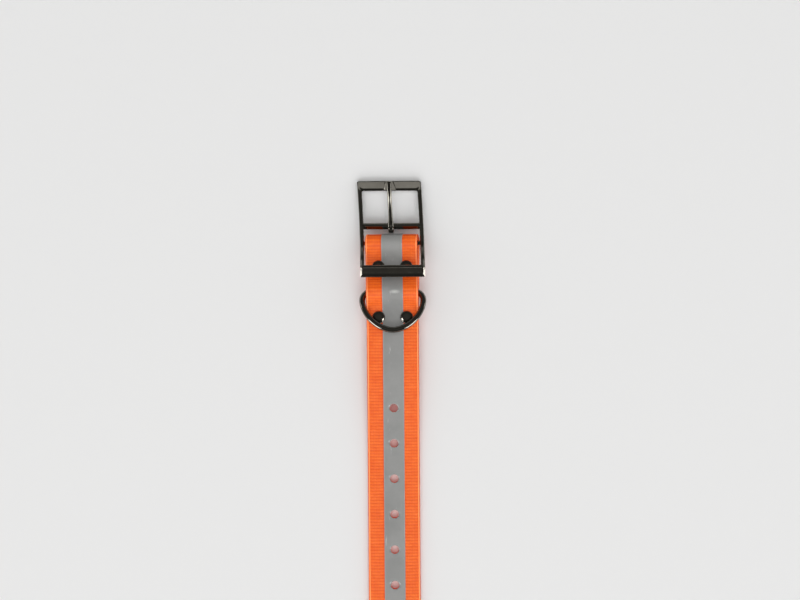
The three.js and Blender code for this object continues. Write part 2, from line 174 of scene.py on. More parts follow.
def make_object(name, points, faces, material, smooth=True):
    """A mesh object from points in millimetres, with Y measured from the strap bar."""
    vertices = (np.asarray(points, float) + ORIGIN) * MM
    mesh = bpy.data.meshes.new(name)
    mesh.from_pydata(vertices.tolist(), [], faces)
    mesh.validate()
    mesh.materials.append(material)
    if smooth:
        mesh.shade_smooth()
    piece = bpy.data.objects.new(name, mesh)
    bpy.context.scene.collection.objects.link(piece)
    return piece


def loft_faces(rows, columns, closed_rows=False, caps=True):
    """Quads between rings of points, each ring closed. Rings run on from one to the next."""
    faces = []
    for i in range(rows if closed_rows else rows - 1):
        here = i * columns
        there = ((i + 1) % rows) * columns
        for j in range(columns):
            k = (j + 1) % columns
            faces.append((here + j, here + k, there + k, there + j))
    if caps and not closed_rows:
        faces.append(tuple(reversed(range(columns))))
        faces.append(tuple(range((rows - 1) * columns, rows * columns)))
    return faces


def lathe(name, profile, centre, material, axis="Z", sides=48):
    """A turned piece. The profile is (radius, height) pairs and starts and ends on the axis."""
    angles = np.linspace(0, 2 * math.pi, sides, endpoint=False)
    points = []
    for radius, height in profile:
        ring = np.stack([radius * np.cos(angles), radius * np.sin(angles), np.full(sides, height)], 1)
        points.append(ring)
    points = np.concatenate(points)
    if axis == "X":
        points = points[:, [2, 0, 1]]
    faces = loft_faces(len(profile), sides, caps=False)
    piece = make_object(name, points + np.asarray(centre), faces, material)
    merge_points(piece)
    return piece


def merge_points(piece, distance=0.0004):
    """Joins points that lie on each other, such as a ring that has shrunk to the axis."""
    shape = bmesh.new()
    shape.from_mesh(piece.data)
    bmesh.ops.remove_doubles(shape, verts=shape.verts, dist=distance * MM)
    bmesh.ops.recalc_face_normals(shape, faces=shape.faces)
    shape.to_mesh(piece.data)
    shape.free()


def apply_modifiers(piece):
    """Replaces the piece's mesh by the mesh that its modifiers make."""
    graph = bpy.context.evaluated_depsgraph_get()
    result = bpy.data.meshes.new_from_object(piece.evaluated_get(graph))
    piece.modifiers.clear()
    piece.data = result


def cut(piece, cutter):
    """Cuts a closed cutter out of a closed piece."""
    bpy.context.view_layer.update()
    boolean = piece.modifiers.new("cut", "BOOLEAN")
    boolean.operation = "DIFFERENCE"
    boolean.solver = "MANIFOLD"
    boolean.object = cutter
    apply_modifiers(piece)
    bpy.data.objects.remove(cutter)


def sharpen(piece, degrees=30):
    """Keeps the edges crisp where two faces meet at more than this angle."""
    piece.data.set_sharp_from_angle(angle=math.radians(degrees))


# The strap's path

def strap_middle(y, z):
    """The middle of the strap's width.

    Beside the buckle the upper layer drifts to the left and the lower one to the right. The fold leads
    from one to the other.
    """
    drift = np.maximum(1 - y / SWAY_START_Y, 0)
    if y > 0:
        upper_share = np.clip((z - LOWER_LAYER_MIDDLE) / (2 * FOLD_RADIUS), 0, 1)
    else:
        upper_share = z > (LOWER_LAYER_MIDDLE + UPPER_LAYER_MIDDLE) / 2
    return drift * (LOWER_SWAY_AT_BAR + (SWAY_AT_BAR - LOWER_SWAY_AT_BAR) * upper_share)


def eased_rise(distance, run):
    """1 at the centre of a rise, falling smoothly to 0 at the end of its run."""
    share = np.minimum(np.abs(distance) / run, 1)
    return 0.5 + 0.5 * np.cos(math.pi * share)


def upper_layer_height(y):
    """The height of the upper layer's middle: over the two bars, then down to the surface."""
    fold_rise = STRAP_BAR_Z + FOLD_RADIUS - UPPER_LAYER_MIDDLE
    pocket_top = RING_BAR.z + RING_WIRE_RADIUS + RING_CLEARANCE_ABOVE
    ring_rise = pocket_top + STRAP_THICKNESS / 2 - UPPER_LAYER_MIDDLE
    tail_drop = UPPER_LAYER_MIDDLE - STRAP_THICKNESS / 2
    ramp = eased_rise(np.minimum(y - TAIL_RAMP_START_Y, 0), TAIL_RAMP_START_Y - TAIL_RAMP_END_Y)
    rises = fold_rise * eased_rise(y, FOLD_RUN) + ring_rise * eased_rise(y - RING_BAR.y, RING_RUN)
    return UPPER_LAYER_MIDDLE + rises - tail_drop * (1 - ramp)


def strap_path():
    """The middle of the strap's thickness as (y, z), from the hidden end round the bar to the tip."""
    lower_steps, fold_steps, upper_steps = 90, 60, 2400
    lower = np.stack([np.linspace(LOWER_LAYER_END_Y, 0, lower_steps, endpoint=False),
                      np.full(lower_steps, LOWER_LAYER_MIDDLE)], 1)
    angles = np.linspace(-math.pi / 2, math.pi / 2, fold_steps, endpoint=False)
    fold = np.stack([FOLD_RADIUS * np.cos(angles), STRAP_BAR_Z + FOLD_RADIUS * np.sin(angles)], 1)
    along = np.linspace(0, TIP_Y, upper_steps)
    upper = np.stack([along, upper_layer_height(along)], 1)
    return np.concatenate([lower, fold, upper])


def travel(path):
    """The distance travelled along a path at each of its points."""
    return np.concatenate([[0], np.cumsum(np.hypot(*np.diff(path, axis=0).T))])


def path_length():
    return float(travel(strap_path())[-1])


def stations(distances):
    """Points and outward normals on the strap's path at the given distances along it."""
    path = strap_path()
    travelled = travel(path)
    total = travelled[-1]
    look = 0.2

    def point_at(distance):
        return np.stack([np.interp(distance, travelled, path[:, k]) for k in (0, 1)], 1)

    at = np.clip(distances, 0, total)
    heading = point_at(np.minimum(at + look, total)) - point_at(np.maximum(at - look, 0))
    heading /= np.linalg.norm(heading, axis=1)[:, None]
    return point_at(at), np.stack([heading[:, 1], -heading[:, 0]], 1)


def sweep_along_strap(name, distances, section, material):
    """A closed strip: section(distance) gives its (x, offset) points, offset being outwards."""
    points, normals = stations(distances)
    rows = []
    for place, normal, distance in zip(points, normals, distances):
        x, offset = section(distance)
        yz = place + offset[:, None] * normal
        rows.append(np.column_stack([x + strap_middle(*place), yz]))
    columns = len(rows[0])
    faces = [tuple(reversed(face)) for face in loft_faces(len(rows), columns)]
    return make_object(name, np.concatenate(rows), faces, material)


def hole_cutter():
    """One cutter for every punched hole and for the waste round the rounded tip."""
    below, above = -3, 12
    waste = 4
    hole_sides, tip_steps = 40, 24
    points, faces = [], []

    def add(outline):
        start = len(points)
        points.extend((x, y, z) for z in (below, above) for x, y in outline)
        faces.extend(tuple(start + v for v in face) for face in loft_faces(2, len(outline)))

    angles = np.linspace(0, 2 * math.pi, hole_sides, endpoint=False)
    for i in range(HOLE_COUNT):
        y = FIRST_HOLE_Y - i * HOLE_PITCH
        add([(TAPE_OFFSET + HOLE_RADIUS * math.cos(a), y + HOLE_RADIUS * math.sin(a)) for a in angles])
    half = STRAP_WIDTH / 2
    tip_width = half + 0.01
    start_y = TIP_Y + TIP_LENGTH
    end_y = TIP_Y - waste
    for side in (-1, 1):
        outline = [(side * tip_width * math.cos(a), start_y - TIP_LENGTH * math.sin(a))
                   for a in np.linspace(0, math.pi / 2, tip_steps)]
        outline += [(0, end_y), (side * (half + waste), end_y), (side * (half + waste), start_y)]
        add(outline[::-side])
    return make_object("cutter", points, faces, bpy.data.materials.new("cutter"), smooth=False)


def strap_section(distance):
    """The webbing's section: ribbed faces between two plain rounded selvedges."""
    half = STRAP_WIDTH / 2
    thick = STRAP_THICKNESS / 2
    nose_depth = SELVEDGE_NOSE * SELVEDGE_WIDTH
    nose_fullness, rib_fullness = 0.8, 0.7
    nose = np.linspace(0, math.pi / 2, 7)
    nose_x = half - nose_depth * (1 - np.cos(nose))
    nose_offset = thick * np.sin(nose) ** nose_fullness
    phase = (distance / RIB_PITCH) % 1
    groove_offset = thick - RIB_DEPTH
    rib_offset = thick - RIB_DEPTH * (1 - math.sin(math.pi * phase) ** rib_fullness)
    groove_x = half - SELVEDGE_WIDTH - SELVEDGE_GROOVE / 2
    field_edge = half - SELVEDGE_WIDTH - SELVEDGE_GROOVE
    field_x = [field_edge - RIB_END_RUN, 7.6, 5.4, 2.6]
    quarter_x = np.concatenate([nose_x, [groove_x, field_edge], field_x])
    quarter_offset = np.concatenate([nose_offset, [groove_offset] * 2, [rib_offset] * len(field_x)])
    top_x = np.concatenate([quarter_x, [0], -quarter_x[::-1]])
    top_offset = np.concatenate([quarter_offset, [rib_offset], quarter_offset[::-1]])
    x = np.concatenate([top_x, -top_x[1:-1]])
    offset = np.concatenate([top_offset, -top_offset[1:-1]])
    return x, offset


def rib_distances():
    """Four stations to a rib, close together at its valley, from end to end of the strap."""
    total = path_length()
    count = int(total / RIB_PITCH)
    inside = [RIB_PITCH * (i + share) for i in range(count + 1) for share in (0.02, 0.2, 0.5, 0.8)]
    return np.array([distance for distance in inside if distance < total] + [total])


def mark_for_materials(piece, middle_x):
    """Stores with each point its place across the strap, and how near it is to a valley between ribs."""
    path = strap_path()
    travelled = travel(path)
    steps = np.diff(path, axis=0)
    lengths = np.hypot(*steps.T)
    directions = np.vstack([steps / lengths[:, None], steps[-1] / lengths[-1]])
    tree = KDTree(len(path))
    for i, (y, z) in enumerate(path):
        tree.insert((0, y, z), i)
    tree.balance()
    across = piece.data.attributes.new("across", "FLOAT", "POINT")
    valley = piece.data.attributes.new("valley", "FLOAT", "POINT")
    for vertex in piece.data.vertices:
        x, y, z = vertex.co / MM - ORIGIN
        i = tree.find((0, y, z))[1]
        distance = travelled[i] + (y - path[i, 0]) * directions[i, 0] + (z - path[i, 1]) * directions[i, 1]
        across.data[vertex.index].value = x - strap_middle(*path[i]) - middle_x
        valley.data[vertex.index].value = abs(2 * (distance / RIB_PITCH % 1) - 1)


def make_strap(material):
    strap = sweep_along_strap("webbing_strap", rib_distances(), strap_section, material)
    cut(strap, hole_cutter())
    mark_for_materials(strap, 0)
    return strap


def tape_section(distance):
    """The tape's section: rounded edges, and a top through which the ribs show faintly."""
    half = TAPE_WIDTH / 2
    edge_radius = 0.14
    relief = 0.012
    turn = np.linspace(0, math.pi / 2, 4)
    corner_x = half - edge_radius * (1 - np.cos(turn))
    corner_offset = TAPE_TOP - edge_radius * (1 - np.sin(turn))
    inner_x = [4.6, 3.2, 1.6]
    inner_offset = TAPE_TOP - relief + relief * math.cos(2 * math.pi * distance / RIB_PITCH)
    quarter_x = np.concatenate([corner_x, inner_x])
    quarter_offset = np.concatenate([corner_offset, [inner_offset] * len(inner_x)])
    x = np.concatenate([quarter_x, [0], -quarter_x[::-1], [-half, half]])
    offset = np.concatenate([quarter_offset, [inner_offset], quarter_offset[::-1], [TAPE_UNDER] * 2])
    return x + TAPE_OFFSET, offset


def make_tape(material):
    total = path_length()
    distances = np.append(np.arange(0, total, RIB_PITCH / 2), total)
    tape = sweep_along_strap("reflective_centre_tape", distances, tape_section, material)
    cut(tape, hole_cutter())
    mark_for_materials(tape, TAPE_OFFSET)
    return tape


# The hardware

def spline_through(controls, steps=12):
    """A smooth curve through the control points, as dense (y, z) points."""
    controls = [Vector(c) for c in controls]
    padded = [2 * controls[0] - controls[1], *controls, 2 * controls[-1] - controls[-2]]
    curve = []
    for a, b, c, d in zip(padded, padded[1:], padded[2:], padded[3:]):
        for i in range(steps):
            t = i / steps
            curve.append(0.5 * (2 * b + (c - a) * t + (2 * a - 5 * b + 4 * c - d) * t ** 2
                                + (3 * b - a - 3 * c + d) * t ** 3))
    curve.append(controls[-1])
    return np.array(curve)


def frame_middle(y):
    """The middle of the frame's width. The rails bow to the left towards the top bar."""
    return KEEPER_OFFSET + RAIL_BOW * (y - RAIL_BOW_START_Y) ** 2


def rail_heights():
    """The middle of the frame's thickness from the keeper bar to the top bar, as (y, z) points."""
    return spline_through([
        (KEEPER_END_Y, KEEPER_Z),
        (KEEPER_TOP_Y - KEEPER_WIDTH / 2, KEEPER_Z),
        (KEEPER_TOP_Y, KEEPER_Z - KEEPER_EDGE_DROP),
        RAIL_KNEE,
        (0, STRAP_BAR_Z),
        (PRONG_BAR.y, PRONG_BAR.z),
        RAIL_MIDSPAN,
        (WINDOW_TOP_Y, RAIL_DEPTH / 2),
        (FRAME_TOP_Y, RAIL_DEPTH / 2),
    ])


def frame_loop():
    """Pairs of outer and inner edge points round the frame, anticlockwise, with rounded corners."""
    half = FRAME_WIDTH / 2
    inner_half = half - RAIL_WIDTH
    arc_steps = 5
    side_steps = 44
    # Extra places close to the corners, where a top bar or keeper bevel starts
    near_corners = [0.012, 0.0245, 0.026, 0.974, 0.9755, 0.988]
    # Outer corner, inner corner, start of the arc in degrees, outer radius, inner radius
    corners = [
        ((half, FRAME_TOP_Y), (inner_half, WINDOW_TOP_Y), 0, 1.1, 0.7),
        ((-half, FRAME_TOP_Y), (-inner_half, WINDOW_TOP_Y), 90, 1.1, 0.7),
        ((-half, KEEPER_END_Y), (-inner_half, KEEPER_TOP_Y), 180, 0.5, 0.5),
        ((half, KEEPER_END_Y), (inner_half, KEEPER_TOP_Y), 270, 0.5, 0.5),
    ]
    arcs = []
    for outer, inner, start_angle, outer_radius, inner_radius in corners:
        diagonal = math.radians(start_angle + 45)
        inward = -np.sign([math.cos(diagonal), math.sin(diagonal)])
        arc = []
        for angle in np.radians(np.linspace(start_angle, start_angle + 90, arc_steps + 1)):
            around = inward + np.array([math.cos(angle), math.sin(angle)])
            arc.append((np.array(outer) + around * outer_radius, np.array(inner) + around * inner_radius))
        arcs.append(arc)
    shares = np.sort(np.concatenate([np.linspace(0, 1, side_steps + 1)[1:-1], near_corners]))
    loop = []
    for arc, next_arc in zip(arcs, arcs[1:] + arcs[:1]):
        loop.extend(arc)
        (outer, inner), (next_outer, next_inner) = arc[-1], next_arc[0]
        loop.extend((outer * (1 - t) + next_outer * t, inner * (1 - t) + next_inner * t) for t in shares)
    return loop


def rounded_drop(distance, run, drop):
    """How far a surface has fallen at this distance from its edge, along a rounded edge."""
    share = np.clip(distance / run, 0, 1)
    return drop * (1 - np.sqrt(1 - (1 - share) ** 2))


def bevel_drop(distance, run, drop):
    """How far a surface has fallen at this distance from its edge, along a flat bevel."""
    return drop * np.clip(1 - distance / run, 0, 1)


def frame_drop(x, y, top_bar):
    """How far the frame's upper face has fallen from its highest line, at its rounded and bevelled edges."""
    side = FRAME_WIDTH / 2 - np.abs(x)
    beside_keeper = np.clip((KEEPER_SIDE_BEVEL_START_Y - y) / KEEPER_SIDE_BEVEL_FADE, 0, 1)
    beside_top_bar = np.clip((y - WINDOW_TOP_Y + TOP_BAR_SIDE_FADE) / TOP_BAR_SIDE_FADE, 0, 1)
    rounding = 1 - TOP_BAR_SIDE_SHARPENING * beside_top_bar
    rounded_side = rounded_drop(side, SIDE_ROUNDING[0] * rounding, SIDE_ROUNDING[1] * rounding)
    bevelled_side = bevel_drop(side, *KEEPER_SIDE_BEVEL)
    window = (y > KEEPER_TOP_Y) & (y < WINDOW_TOP_Y)
    keeper_foot = y - KEEPER_END_Y
    keeper_top = np.maximum(KEEPER_TOP_Y - y, 0)
    drops = [
        rounded_side * (1 - beside_keeper) + bevelled_side * beside_keeper,
        np.where(window, rounded_drop(RAIL_WIDTH - side, *WINDOW_ROUNDING), 0),
        bevel_drop(keeper_foot, *KEEPER_FOOT_BEVEL) + rounded_drop(keeper_foot, *KEEPER_FOOT_ROUNDING),
        np.where(y <= KEEPER_TOP_Y, bevel_drop(keeper_top, *KEEPER_TOP_BEVEL), 0),
        rounded_drop(FRAME_TOP_Y - y, *TOP_EDGE_ROUNDING),
    ]
    if top_bar:
        drops.append(bevel_drop(y - WINDOW_TOP_Y, *TOP_BAR_BEVEL))
    return np.max(drops, axis=0)


def prong_notch():
    """The notch across the top bar in which the prong's tip rests, flared towards the window."""
    middle = PRONG_BAR.x - (FRAME_TOP_Y - PRONG_BAR.y) * math.tan(PRONG_LEAN)
    overrun = 1
    outline = [
        (middle - 2.3, WINDOW_TOP_Y - overrun),
        (middle + 3.7, WINDOW_TOP_Y - overrun),
        (middle + 1.3, FRAME_TOP_Y + overrun),
        (middle - 1.4, FRAME_TOP_Y + overrun),
    ]
    depth = 0.5
    wall_slope = math.radians(48)
    flare = 2 * depth / math.tan(wall_slope)
    points = [(x, y, RAIL_DEPTH - depth) for x, y in outline]
    points += [(x + math.copysign(flare, x - middle), y, RAIL_DEPTH + depth) for x, y in outline]
    return make_object("cutter", points, loft_faces(2, 4), bpy.data.materials.new("cutter"), smooth=False)


def make_buckle_frame(material):
    """One casting: a section across each bar, carried round the frame's loop, with the notch cut in."""
    heights = rail_heights()
    order = np.argsort(heights[:, 0])
    # Places across a bar, closer together at its rounded edges and bevels
    shares = np.array([0, 0.025, 0.05, 0.09, 0.15, 0.2, 0.24, 0.27, 0.35, 0.5, 0.65, 0.73, 0.76, 0.8, 0.86,
                       0.91, 0.95, 0.975, 1])
    thinning_run = 5
    corner_reach = 0.7
    rows = []
    for outer, inner in frame_loop():
        x, y = (np.outer(1 - shares, outer) + np.outer(shares, inner)).T
        width = np.linalg.norm(inner - outer)
        middle = np.interp(y, heights[order, 0], heights[order, 1])
        middle = np.where(y > WINDOW_TOP_Y, RAIL_DEPTH / 2, middle)
        thinned = np.clip((KEEPER_TOP_Y + thinning_run - y) / thinning_run, 0, 1)
        depth = RAIL_DEPTH + (KEEPER_DEPTH - RAIL_DEPTH) * thinned * thinned * (3 - 2 * thinned)
        in_top_bar = inner[1] > WINDOW_TOP_Y - corner_reach
        top = middle + depth / 2 - frame_drop(x, y, in_top_bar)
        under = np.maximum(middle - depth / 2, 0)
        for from_edge in (shares * width, (1 - shares) * width):
            under = under + rounded_drop(from_edge, *UNDERSIDE_ROUNDING)
        shifted = x + frame_middle(y)
        rows.append(np.concatenate([
            np.column_stack([shifted, y, top]),
            np.column_stack([shifted, y, under])[::-1],
        ]))
    points = np.concatenate(rows)
    faces = loft_faces(len(rows), len(rows[0]), closed_rows=True)
    frame_piece = make_object("buckle_frame_casting", points, faces, material)
    cut(frame_piece, prong_notch())
    sharpen(frame_piece)
    return frame_piece


def bar(name, place, material, flat):
    """A round bar let into the rails, with thinner ends or with a flat that looks up and back at the fold."""
    seat = 0.1
    neck_length = 1.3
    taper = 0.3
    shoulder = FRAME_WIDTH / 2 - RAIL_WIDTH + seat
    neck = shoulder - neck_length
    end_radius = PIN_RADIUS if flat else THIN_END_RADIUS
    profile = [(0, -shoulder), (end_radius, -shoulder), (end_radius, -neck - taper)]
    profile += [(PIN_RADIUS, x) for x in np.linspace(-neck, neck, 7)]
    profile += [(end_radius, neck + taper), (end_radius, shoulder), (0, shoulder)]
    rod = lathe(name, profile, place, material, axis="X")
    if flat:
        flatten(rod, Vector(place))
    sharpen(rod)
    return rod


def flatten(rod, axis):
    """Presses a bar flat on the side that looks up and back at the fold."""
    facing = math.pi / 4
    half_turn = math.radians(35)
    surface = 0.95 * PIN_RADIUS
    for vertex in rod.data.vertices:
        x, y, z = vertex.co / MM - ORIGIN - axis
        angle = math.atan2(z, -y)
        if abs(angle - facing) < half_turn and math.hypot(y, z) > surface:
            radius = PIN_RADIUS * math.cos(half_turn) / math.cos(angle - facing)
            here = Vector((x, -radius * math.cos(angle), radius * math.sin(angle)))
            vertex.co = (here + axis + ORIGIN) * MM


def signed_power(values, power):
    """The power of each value's size, with its own sign. It makes a circle squarer or more pointed."""
    return np.sign(values) * np.abs(values) ** power


def make_prong(material):
    """A bar rolled into a loop round its pin, then bent down to the notch in the top bar."""
    bar_y = PRONG_BAR.y
    bar_z = PRONG_BAR.z
    loop_middle = (PRONG_LOOP_RADIUS + PRONG_LOOP_BORE) / 2
    loop_thick = PRONG_LOOP_RADIUS - PRONG_LOOP_BORE
    tip_thick = 1.15
    tip_rounding = 0.025
    loop_end_rounding = 0.3
    fullest = 0.98
    narrowed_at, thinned_from = 0.22, 0.2
    squareness = 0.7
    ridge_at, ridge_spread = 0.6, 0.17
    reach = PRONG_TIP_Y - bar_y
    turn = np.radians(np.linspace(-35, -265, 40))
    loop = np.stack([bar_y + loop_middle * np.cos(turn), bar_z + loop_middle * np.sin(turn)], 1)
    shank = spline_through([
        (bar_y + 0.2, bar_z + loop_middle),
        (bar_y + 3.5, bar_z + 1.75),
        (bar_y + reach * 0.35, bar_z + 1.1),
        (bar_y + reach * 0.7, bar_z + 0.1),
        (bar_y + reach * 0.93, bar_z - 0.86),
        (bar_y + reach, bar_z - 1.32),
    ], steps=10)
    path = np.concatenate([loop, shank[1:]])
    travelled = travel(path)
    share = travelled / travelled[-1]
    loop_end = share[len(loop) - 1]
    along = np.clip((share - loop_end) / (1 - loop_end), 0, 1)
    narrowed = np.clip(along / narrowed_at, 0, 1)
    thinned = np.clip((along - thinned_from) / (1 - thinned_from), 0, 1)
    width = PRONG_LOOP_WIDTH + (PRONG_WIDTH - PRONG_LOOP_WIDTH) * narrowed
    thick = loop_thick + (tip_thick - loop_thick) * thinned
    into_tip = np.clip((along - 1 + tip_rounding) / tip_rounding, 0, fullest)
    into_loop_end = np.clip(1 - travelled / loop_end_rounding, 0, fullest)
    ends = np.sqrt(1 - np.maximum(into_tip, into_loop_end) ** 2)
    heading = np.gradient(path, axis=0)
    heading /= np.linalg.norm(heading, axis=1)[:, None]
    normals = np.stack([-heading[:, 1], heading[:, 0]], 1)
    angles = np.linspace(0, 2 * math.pi, 32, endpoint=False)
    powers = squareness + np.exp(-((along - ridge_at) / ridge_spread) ** 2)
    rows = []
    half_sizes = np.stack([width, thick], 1) / 2 * ends[:, None]
    for place, normal, (half_width, half_thick), power in zip(path, normals, half_sizes, powers):
        across = half_width * signed_power(np.cos(angles), power)
        offset = half_thick * signed_power(np.sin(angles), power)
        rows.append(np.column_stack([across, place + offset[:, None] * normal]))
    faces = loft_faces(len(rows), len(angles))
    points = np.concatenate(rows)
    ahead = points[:, 1] - bar_y
    x = PRONG_BAR.x + points[:, 0] * math.cos(PRONG_LEAN) - ahead * math.sin(PRONG_LEAN)
    y = bar_y + points[:, 0] * math.sin(PRONG_LEAN) + ahead * math.cos(PRONG_LEAN)
    return make_object("prong_tongue", np.column_stack([x, y, points[:, 2]]), faces, material)


def ring_outline():
    """The D-ring's centreline in its own plane: a straight bar, two corners and the bow."""
    straight = RING_HALF_WIDTH - RING_CORNER_RADIUS

    def corner(middle, angles):
        return [(middle + RING_CORNER_RADIUS * math.cos(a), RING_CORNER_RADIUS * (1 + math.sin(a)))
                for a in np.radians(angles)]

    bar_points = [(x, 0) for x in np.linspace(-straight, straight, 12, endpoint=False)]
    turn = np.linspace(0, math.pi, 90)
    power = 2 / RING_ROUNDNESS
    across = RING_HALF_WIDTH * signed_power(np.cos(turn), power)
    along = RING_CORNER_RADIUS + (RING_REACH - RING_CORNER_RADIUS) * np.abs(np.sin(turn)) ** power
    right = corner(straight, np.linspace(-90, 0, 10, endpoint=False))
    left = corner(-straight, np.linspace(180, 270, 11)[1:-1])
    return np.array([*bar_points, *right, *zip(across, along), *left])


def make_ring(material):
    """A round wire bent to the outline, with its corners eased by two passes of smoothing."""
    outline = ring_outline()
    for _ in range(2):
        outline = (np.roll(outline, 1, 0) + 2 * outline + np.roll(outline, -1, 0)) / 4
    outline[:, 0] *= (RING_HALF_WIDTH + RING_EXTRA_HALF_WIDTH) / outline[:, 0].max()
    ahead = np.roll(outline, -1, 0) - np.roll(outline, 1, 0)
    ahead /= np.linalg.norm(ahead, axis=1)[:, None]
    outward = np.stack([ahead[:, 1], -ahead[:, 0]], 1)
    angles = np.linspace(0, 2 * math.pi, 28, endpoint=False)
    rows = []
    for place, out in zip(outline, outward):
        spread = RING_WIRE_RADIUS * np.cos(angles)
        lift = RING_WIRE_RADIUS * np.sin(angles)
        x = RING_BAR.x + RING_SHIFT + place[0] + spread * out[0]
        v = place[1] + spread * out[1]
        y = RING_BAR.y - v * math.cos(RING_TILT) + lift * math.sin(RING_TILT)
        z = RING_BAR.z + v * math.sin(RING_TILT) + lift * math.cos(RING_TILT)
        rows.append(np.column_stack([x, y, z]))
    faces = loft_faces(len(rows), len(angles), closed_rows=True)
    ring = make_object("d_ring_wire", np.concatenate(rows), faces, material)
    merge_points(ring)
    return ring


def rivet_centre(low, high):
    return (low.x + high.x) / 2 - ORIGIN.x, (low.y + high.y) / 2 - ORIGIN.y, 0


def rivet_cap(name, node, material):
    """A domed cap with a low rim, on the post that runs down through both layers."""
    low, high = (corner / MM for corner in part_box(node))
    under = high.z - RIVET_CAP_HEIGHT
    rim_top = under + RIVET_CAP_RIM
    edge = 0.15
    dome = [(RIVET_CAP_RADIUS * math.cos(a), rim_top + (high.z - rim_top) * math.sin(a))
            for a in np.linspace(0, math.pi / 2, 14)]
    dome[-1] = (0, high.z)
    profile = [(0, low.z), (RIVET_POST_RADIUS, low.z), (RIVET_POST_RADIUS, under),
               (RIVET_CAP_RADIUS - edge, under), (RIVET_CAP_RADIUS, under + edge)] + dome
    piece = lathe(name, profile, rivet_centre(low, high), material)
    sharpen(piece)
    return piece


def rivet_back(name, node, material):
    """A flat back with rounded edges and a shallow dish in its middle."""
    low, high = (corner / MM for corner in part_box(node))
    profile = [(0, high.z), (RIVET_BACK_RADIUS, high.z), (RIVET_BACK_RADIUS, 0.35),
               (RIVET_BACK_RADIUS - 0.12, 0.12), (RIVET_BACK_RADIUS - 0.35, 0),
               (1.3, 0), (1.0, 0.12), (0.6, 0.22), (0, 0.25)]
    piece = lathe(name, profile, rivet_centre(low, high), material)
    sharpen(piece)
    return piece


# Materials

BLACK = (0, 0, 0)
MIX_COLOUR_INPUTS = (0, 6, 7)
MIX_COLOUR_OUTPUT = 2


def grey(level):
    return (level, level, level)


def node_material(name):
    material = bpy.data.materials.new(name)
    material.use_nodes = True
    nodes = material.node_tree.nodes
    return material, nodes, material.node_tree.links, nodes["Principled BSDF"]


def set_inputs(node, values):
    for key, value in values.items():
        node.inputs[key].default_value = value


def add_node(nodes, kind, **values):
    """A node with these values, each for an input or for a setting of the node itself."""
    made = nodes.new(kind)
    for key, value in values.items():
        if key in made.inputs:
            made.inputs[key].default_value = value
        else:
            setattr(made, key, value)
    return made


def texture(nodes, links, kind, **values):
    """A texture or mapping node that reads the piece's own coordinates."""
    made = add_node(nodes, kind, **values)
    place = nodes.new("ShaderNodeTexCoord")
    links.new(place.outputs["Object"], made.inputs["Vector"])
    return made


def colour_ramp(nodes, links, value, stops):
    """The colour that a socket's value picks from these (position, colour) stops."""
    ramp = nodes.new("ShaderNodeValToRGB")
    elements = ramp.color_ramp.elements
    while len(elements) < len(stops):
        elements.new(0.5)
    for element, (position, colour) in zip(elements, stops):
        element.position = position
        element.color = (*colour, 1)
    links.new(value, ramp.inputs["Fac"])
    return ramp.outputs["Color"]


def read_attribute(nodes, name):
    reader = nodes.new("ShaderNodeAttribute")
    reader.attribute_name = name
    return reader.outputs["Fac"]


def share_of_width(nodes, links, width):
    """How far across the strap a place is: 0 in the middle and 1 at the edges of this width."""
    size = add_node(nodes, "ShaderNodeMath", operation="ABSOLUTE")
    links.new(read_attribute(nodes, "across"), size.inputs[0])
    scaled = add_node(nodes, "ShaderNodeMath", operation="MULTIPLY")
    links.new(size.outputs[0], scaled.inputs[0])
    scaled.inputs[1].default_value = 2 / width
    return scaled.outputs[0]


def mix_colours(nodes, links, factor, first, second, blend="MIX"):
    """Mixes two colours, each a socket or a plain colour, by a socket or a plain number."""
    mixed = nodes.new("ShaderNodeMix")
    mixed.data_type = "RGBA"
    mixed.blend_type = blend
    for place, value in zip(MIX_COLOUR_INPUTS, (factor, first, second)):
        socket = mixed.inputs[place]
        if isinstance(value, bpy.types.NodeSocket):
            links.new(value, socket)
        elif isinstance(value, tuple):
            socket.default_value = (*value, 1)
        else:
            socket.default_value = value
    return mixed.outputs[MIX_COLOUR_OUTPUT]


def add_bump(nodes, links, height, surface, strength, distance):
    bump = add_node(nodes, "ShaderNodeBump", Strength=strength, Distance=distance)
    links.new(height, bump.inputs["Height"])
    links.new(bump.outputs["Normal"], surface.inputs["Normal"])


def add_heights(nodes, links, fine, share, coarse):
    """A share of the fine height on top of the coarse one."""
    total = add_node(nodes, "ShaderNodeMath", operation="MULTIPLY_ADD")
    total.inputs[1].default_value = share
    links.new(fine, total.inputs[0])
    links.new(coarse, total.inputs[2])
    return total.outputs[0]


def band_scale(period):
    """The wave texture's scale that gives this period in metres."""
    radians_per_unit = 20
    return 2 * math.pi / (radians_per_unit * period)


